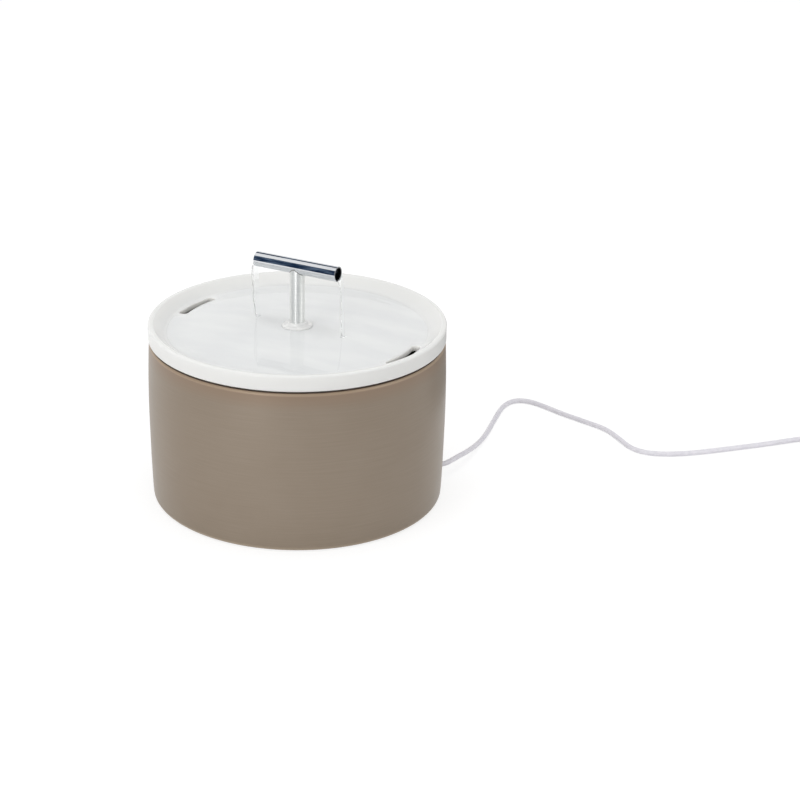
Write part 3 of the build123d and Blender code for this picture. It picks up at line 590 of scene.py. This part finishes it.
def tankProfile(look):  # radius and height of each ring, from the underside round the wall to the floor
    x, z, radius = arcThrough(look["foot"], look["middle"], look["rim"])
    low, high = look["spreadRange"]

    def wallReach(height):
        return x + sqrt(radius ** 2 - (height - z) ** 2)

    def outerReach(height):
        share = min(max((high - height) / (high - low), 0.0), 1.0)
        return wallReach(height) + look["spread"] * share ** look["spreadFade"]

    def innerReach(height):
        return wallReach(height) - look["thick"]

    def rounded(reach, height, size, first, last):  # arc round a middle, between two angles
        steps = look["roundSteps"]
        turns = [radians(first + (last - first) * n / steps) for n in range(steps + 1)]
        return [(reach + size * cos(turn), height + size * sin(turn)) for turn in turns]

    def wall(reachAt, first, last):
        steps = look["wallSteps"]
        heights = [first + (last - first) * n / steps for n in range(1, steps)]
        return [(reachAt(height), height) for height in heights]

    footRound, wellRound = look["footRound"], look["wellRound"]
    outerRound, innerRound = look["rimOuterRound"], look["rimInnerRound"]
    underside, top = look["foot"][1], look["rim"][1]
    footTop = look["footHeight"] + footRound
    wellTop = look["floorHeight"] + wellRound
    rimOuter, rimInner = top - outerRound, top - innerRound
    footReach = outerReach(footTop) - footRound
    return [
        (look["hub"], underside), (footReach - look["footRing"], underside),
        *rounded(footReach, footTop, footRound, -90, 0),
        *wall(outerReach, footTop, rimOuter),
        *rounded(outerReach(rimOuter) - outerRound, rimOuter, outerRound, 0, 90),
        *rounded(innerReach(rimInner) + innerRound, rimInner, innerRound, 90, 180),
        *wall(innerReach, rimInner, wellTop),
        *rounded(innerReach(wellTop) - wellRound, wellTop, wellRound, 0, -90),
        (look["hub"], look["floorHeight"]),
    ]


def buildTank(shape):
    turns = fullTurn(tankLook["sides"])
    joinRings(shape, [[(reach * cos(turn), reach * sin(turn), height) for turn in turns]
                      for reach, height in tankProfile(tankLook)])


tankShell = meshPiece("tankShell", buildTank, finishes["tank_glaze"])
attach(tankShell, "tank_body")
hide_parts("tank")
print("tank shell turned")


# thin brazed bead where the stem meets the bar, dark so that it also paints the shade in the joint

beadLook = {
    "barRadius": 0.0064,
    "barHeight": 0.2021,
    "stemRadius": 0.00625,
    "thickness": 0.0003,
    "steps": 72,
    "sides": 8,
    "finish": {
        # dark braze colour that also paints the shade in the joint
        "light": tint(112, 110, 102), "dark": tint(88, 86, 78), "mottle": 700.0,
        "roughness": (0.35, 0.5), "bump": 0.2, "sockets": {"Metallic": 0.7},
    },
}


def buildBead(shape):
    look = beadLook
    rings = []
    for angle in fullTurn(look["steps"]):
        out = Vector((cos(angle), sin(angle), 0))
        middle = out * look["stemRadius"]
        middle.z = look["barHeight"] - sqrt(look["barRadius"] ** 2 - middle.y ** 2)
        ring = [out * cos(turn) + Vector((0, 0, sin(turn))) for turn in fullTurn(look["sides"])]
        rings.append(addRing(shape, [middle + point * look["thickness"] for point in ring]))
    for lower, upper in zip(rings, rings[1:] + rings[:1]):
        bridge(shape, lower, upper)


bead = meshPiece("stemBead", buildBead, plainMaterial("beadBrazeAndShade", beadLook["finish"]))
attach(bead, "spout_body")
print("bead laid")


# running water

waterFinish = {
    "colour": (0.985, 0.995, 1.0, 1.0),
    "roughness": 0.01,
    "rippleScale": 240.0,
    "rippleDepth": 0.0005,
    "film": {"bump": 0.03, "ior": 1.27, "clear": 0.0},
    "stream": {"bump": 0.01, "ior": 1.14, "clear": 0.45},  # clear: share that lets all light through
}


def waterMaterial(name, look, kind):
    material, tree, shader = blankMaterial(name)
    setSockets(shader, {"Base Color": look["colour"], "Roughness": look["roughness"],
                        "IOR": kind["ior"], "Transmission Weight": 1.0})
    addBump(tree, shader, [(grain(tree, look["rippleScale"]), kind["bump"], look["rippleDepth"])])
    straight = tree.nodes.new("ShaderNodeBsdfTransparent")
    path = tree.nodes.new("ShaderNodeLightPath")
    soft = largerOf(tree, path.outputs["Is Shadow Ray"], path.outputs["Is Diffuse Ray"])
    share = valueRange(tree, soft, kind["clear"], 1.0, 0.0, 1.0)
    water = mixShaders(tree, share, shader.outputs["BSDF"], straight.outputs["BSDF"])
    tree.links.new(water, tree.nodes["Material Output"].inputs["Surface"])
    return material


filmWater = waterMaterial("filmWater", waterFinish, waterFinish["film"])
streamWater = waterMaterial("streamWater", waterFinish, waterFinish["stream"])

# each station of a stream: (point on its middle line), width across, thickness,
# from inside the bar to the tray; the stream stretches between two of its stations
streamLook = {
    "right": [
        ((0.0300, 0.0, 0.1990), 0.0096, 0.0042), ((0.0380, 0.0, 0.1991), 0.0100, 0.0044),
        ((0.0402, -0.0004, 0.1986), 0.0090, 0.0046), ((0.0418, -0.0008, 0.1968), 0.0076, 0.0036),
        ((0.0428, -0.0010, 0.1935), 0.0066, 0.0026), ((0.0435, -0.0013, 0.1880), 0.0060, 0.0020),
        ((0.0441, -0.0017, 0.1800), 0.0056, 0.0018), ((0.0447, -0.0022, 0.1680), 0.0050, 0.0018),
        ((0.0452, -0.0027, 0.1570), 0.0044, 0.0020), ((0.0455, -0.0030, 0.1512), 0.0040, 0.0022),
        ((0.0456, -0.0031, 0.1496), 0.0052, 0.0044),
    ],
    "left": [
        ((-0.0300, 0.0, 0.1988), 0.0096, 0.0040), ((-0.0385, 0.0, 0.1988), 0.0100, 0.0040),
        ((-0.0400, 0.0002, 0.1981), 0.0106, 0.0034), ((-0.0408, 0.0003, 0.1964), 0.0112, 0.0024),
        ((-0.0412, 0.0004, 0.1930), 0.0118, 0.0014), ((-0.0413, 0.0005, 0.1875), 0.0122, 0.0009),
        ((-0.0412, 0.0006, 0.1800), 0.0120, 0.0008), ((-0.0409, 0.0008, 0.1680), 0.0106, 0.0009),
        ((-0.0402, 0.0012, 0.1570), 0.0080, 0.0012), ((-0.0396, 0.0014, 0.1514), 0.0056, 0.0020),
        ((-0.0392, 0.0015, 0.1498), 0.0052, 0.0044),
    ],
    "sides": 24,
    "stepsBetween": 4,
    "stretchFrom": 3,
    "stretchTo": 9,
}


def smoothStations(stations, steps):  # even curve through the stations
    rows = [Vector(point) for point, width, thickness in stations]
    sizes = [(width, thickness) for point, width, thickness in stations]
    line = []
    for n in range(len(rows) - 1):
        before, start, end = rows[max(n - 1, 0)], rows[n], rows[n + 1]
        after = rows[min(n + 2, len(rows) - 1)]
        slope, bend = end - before, 2 * before - 5 * start + 4 * end - after
        twist = 3 * start - before - 3 * end + after
        for k in range(steps):
            t = k / steps
            point = 0.5 * (2 * start + slope * t + bend * t ** 2 + twist * t ** 3)
            line.append((point, *(a + (b - a) * t for a, b in zip(sizes[n], sizes[n + 1]))))
    return line + [(rows[-1], *sizes[-1])]


def streamRings(stations, look):
    line = smoothStations(stations, look["stepsBetween"])
    across = Vector((0, 1, 0))
    rings = []
    for n, (point, width, thickness) in enumerate(line):
        ahead, behind = line[min(n + 1, len(line) - 1)][0], line[max(n - 1, 0)][0]
        out = across.cross((ahead - behind).normalized()).normalized()
        rings.append([point + across * cos(turn) * width / 2 + out * sin(turn) * thickness / 2
                      for turn in fullTurn(look["sides"])])
    return rings


def pourStream(name, stations, look):
    stream = meshPiece(name, lambda shape: joinRings(shape, streamRings(stations, look)), streamWater)
    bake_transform(stream)


for side in ("left", "right"):
    pourStream(side + "Stream", streamLook[side], streamLook)
print("streams poured")

filmLook = {
    "inner": 0.0134,
    "outer": 0.1092,
    "slotInner": 0.0998,       # the film stops short of the drain slots
    "slotTurn": -3.2,
    "slotAngle": 14.2,
    "slotBlend": 3.0,
    "depth": 0.0003,
    "edgeRings": 40,           # rings over which the film thins out at its edge
    "collarRings": 3,          # and towards the collar, down to a share of its depth
    "collarShare": 0.3,
    "sunk": 0.0003,            # below the glaze, so that no air shows under it
    "rings": 170,
    "spokes": 320,
    "ripple": 0.000035,        # rings round the feet of the streams
    "rippleLength": 0.0055,
    "rippleReach": 0.014,
    "swell": 0.00011,          # uneven surface of the running film
    "swellScale": 62.0,
    "feet": [(0.0456, -0.0031), (-0.0392, 0.0015)],
    "trayMiddle": 0.1498,
    "trayEdge": 0.1464,
    "land": 0.016,
    "trayFoot": 0.100,
    "domeShare": 0.3,
}


def trayHeight(look, radius):  # top of the tray at a radius: flat, then an arc through three points
    if radius <= look["land"]:
        return look["trayMiddle"]
    if radius >= look["trayFoot"]:
        return look["trayEdge"]
    drop = look["trayMiddle"] - look["trayEdge"]
    near, far = look["land"], look["trayFoot"]
    middle = (near + far) / 2
    dome = (radius - near) * (radius - far) / ((middle - near) * (middle - far))
    edge = (radius - near) * (radius - middle) / ((far - near) * (far - middle))
    return look["trayMiddle"] - drop * look["domeShare"] * dome - drop * edge


def filmEdge(look, angle):  # outer radius of the film in a direction
    degrees = abs((angle * 180 / pi - look["slotTurn"] + 90) % 180 - 90)
    share = min(max((degrees - look["slotAngle"]) / look["slotBlend"], 0.0), 1.0)
    share = share * share * (3 - 2 * share)
    return look["slotInner"] + (look["outer"] - look["slotInner"]) * share


def rippleHeight(look, x, y):
    total = 0.0
    for footX, footY in look["feet"]:
        away = sqrt((x - footX) ** 2 + (y - footY) ** 2)
        total += sin(2 * pi * away / look["rippleLength"]) * exp(-away / look["rippleReach"])
    swell = noise.noise(Vector((x, y, 0.0)) * look["swellScale"])
    return look["ripple"] * total + look["swell"] * swell


def buildFilm(shape):
    look = filmLook
    inner, rings = look["inner"], look["rings"]
    tops, lows = [], []
    for n in range(rings + 1):
        fade = min(1.0, (rings - n) / look["edgeRings"], n / look["collarRings"] + look["collarShare"])
        top, low = [], []
        for angle in fullTurn(look["spokes"]):
            radius = inner + (filmEdge(look, angle) - inner) * n / rings
            x, y = radius * cos(angle), radius * sin(angle)
            base = trayHeight(look, radius)
            top.append((x, y, base + fade * (look["depth"] + rippleHeight(look, x, y))))
            low.append((x, y, base - look["sunk"]))
        tops.append(addRing(shape, top))
        lows.append(addRing(shape, low))
    for layers in (tops, lows):
        for near, far in zip(layers, layers[1:]):
            bridge(shape, near, far)
    for n in (0, rings):
        bridge(shape, tops[n], lows[n])


film = meshPiece("trayWater", buildFilm, filmWater)
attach(film, "lid_body")
print("tray wetted")


# studio

white = (1, 1, 1, 1)

studioLook = {
    "floorSize": 12.0,
    "floorColour": (0.92, 0.92, 0.92, 1.0),
    "floorSeen": (0.36, 0.36, 0.36, 1.0),   # share of it under the glow, enough for a soft shadow
    "floorGlow": 0.74,
    "worldSoft": 0.70,         # soft light from all round
    "aim": (0, 0, 0.1),
    "topSize": 0.6,
    "topHeight": 1.5,
    "topPower": 3.7,
    "keyPower": 9.0,
    "keySize": 1.2,
    "keyPlace": (-0.50, -1.83, 1.0),
    "sidePower": 2.6,
    "sideSize": 1.0,
    "sidePlace": (1.05, -1.65, 0.8),
}


def glowMaterial(name):
    material = bpy.data.materials.new(name)
    material.use_nodes = True
    tree = material.node_tree
    tree.nodes.remove(tree.nodes["Principled BSDF"])
    glow = tree.nodes.new("ShaderNodeEmission")
    setSockets(glow, {"Color": white})
    tree.links.new(glow.outputs["Emission"], tree.nodes["Material Output"].inputs["Surface"])
    return material, tree, glow


def makeFloor(look):
    material, tree, glow = glowMaterial("paleFloor")
    seen = seenStraight(tree)
    colour = colourRamp(tree, seen, [(0.0, look["floorColour"]), (1.0, look["floorSeen"])])
    soft = tree.nodes.new("ShaderNodeBsdfDiffuse")
    tree.links.new(colour, soft.inputs["Color"])
    tree.links.new(valueRange(tree, seen, 0.0, look["floorGlow"], 0.0, 1.0), glow.inputs["Strength"])
    both = tree.nodes.new("ShaderNodeAddShader")
    tree.links.new(soft.outputs["BSDF"], both.inputs[0])
    tree.links.new(glow.outputs["Emission"], both.inputs[1])
    tree.links.new(both.outputs["Shader"], tree.nodes["Material Output"].inputs["Surface"])
    half = look["floorSize"] / 2

    def build(shape):
        shape.faces.new(addRing(shape, [(-half, -half, 0), (half, -half, 0),
                                        (half, half, 0), (-half, half, 0)]))

    floor = meshPiece("floor", build, material, smooth=False)


def makeWorld(look):
    world = bpy.data.worlds.new("softRoom")
    bpy.context.scene.world = world
    world.use_nodes = True
    tree = world.node_tree
    seen = tree.nodes["Background"]
    setSockets(seen, {"Color": white, "Strength": 1.0})
    soft = tree.nodes.new("ShaderNodeBackground")
    setSockets(soft, {"Color": white, "Strength": look["worldSoft"]})
    both = mixShaders(tree, seenStraight(tree), soft.outputs["Background"], seen.outputs["Background"])
    tree.links.new(both, tree.nodes["World Output"].inputs["Surface"])


def areaLamp(name, place, size, power):
    data = bpy.data.lights.new(name, "AREA")
    data.shape = "SQUARE"
    data.size = size
    data.energy = power
    lamp = bpy.data.objects.new(name, data)
    bpy.context.scene.collection.objects.link(lamp)
    lamp.location = place
    away = Vector(studioLook["aim"]) - Vector(place)
    lamp.rotation_euler = away.to_track_quat("-Z", "Y").to_euler()
    lamp.visible_camera = False


# cards and strips that only glossy surfaces mirror; a card curves round the spout bar's axis,
# with its angles counted from straight ahead (-Y) upwards, and a strip stands upright
cardLook = {
    "axisHeight": 0.2021,
    "dark": tint(24, 44, 70),
    "pale": tint(118, 136, 158),
    "blotchScale": 70.0,
    "blotchStretch": (1, 0.045, 0.045),
    "blotchDetail": 5.0,
    "blotchStops": (0.46, 0.72),
    "steps": 24,
    "cards": {
        "frontCard": {"radius": 0.60, "angles": (-12.0, 60.0), "span": (-1.2, 1.2)},
        "rearCard": {"radius": 1.50, "angles": (112.0, 141.0), "span": (-0.93, -0.71)},
    },
    "strips": {  # distance, azimuth counted as the camera's, width, lower and upper edge, glow
        "leftStrip": (0.50, 4.5, 0.10, 0.03, 1.3, 4.2),
        "rightStrip": (0.95, 96.0, 0.26, 0.03, 1.3, 3.0),
        "shadeStrip": (0.29, 151.0, 0.24, 0.0, 0.16, 0.40),
    },
}


def hideFromAllButGloss(piece):
    piece.visible_camera = False
    piece.visible_diffuse = False
    piece.visible_shadow = False
    piece.visible_transmission = False
    piece.visible_volume_scatter = False


def makeCard(name, look, card, material):
    steps = look["steps"]
    first, last = card["angles"]

    def build(shape):
        rows = []
        for n in range(steps + 1):
            angle = radians(first + (last - first) * n / steps)
            y = -card["radius"] * cos(angle)
            z = look["axisHeight"] + card["radius"] * sin(angle)
            rows.append(addRing(shape, [(x, y, z) for x in card["span"]]))
        for lower, upper in zip(rows, rows[1:]):
            shape.faces.new((lower[0], lower[1], upper[1], upper[0]))

    hideFromAllButGloss(meshPiece(name, build, material))


def makeStrip(name, strip):
    away, azimuth, width, low, high, strength = strip
    material, _, glow = glowMaterial(name)
    setSockets(glow, {"Strength": strength})
    turn = radians(azimuth)
    middle = Vector((sin(turn), -cos(turn), 0)) * away
    side = Vector((cos(turn), sin(turn), 0)) * width / 2
    bottom, top = Vector((0, 0, low)), Vector((0, 0, high))

    def build(shape):
        shape.faces.new(addRing(shape, [middle - side + bottom, middle + side + bottom,
                                        middle + side + top, middle - side + top]))

    hideFromAllButGloss(meshPiece(name, build, material, smooth=False))


def makeCards(look):
    material, tree, glow = glowMaterial("darkCard")
    blotches = grain(tree, look["blotchScale"], look["blotchStretch"], look["blotchDetail"])
    colour = mottled(tree, blotches, look, "dark", "pale", look["blotchStops"])
    tree.links.new(colour, glow.inputs["Color"])
    for name, card in look["cards"].items():
        makeCard(name, look, card, material)
    for name, strip in look["strips"].items():
        makeStrip(name, strip)


makeFloor(studioLook)
makeWorld(studioLook)
areaLamp("topLamp", (0, 0, studioLook["topHeight"]), studioLook["topSize"], studioLook["topPower"])
areaLamp("keyLamp", studioLook["keyPlace"], studioLook["keySize"], studioLook["keyPower"])
areaLamp("sideLamp", studioLook["sidePlace"], studioLook["sideSize"], studioLook["sidePower"])
makeCards(cardLook)
bpy.context.scene.view_settings.view_transform = "Standard"
print("studio lit")
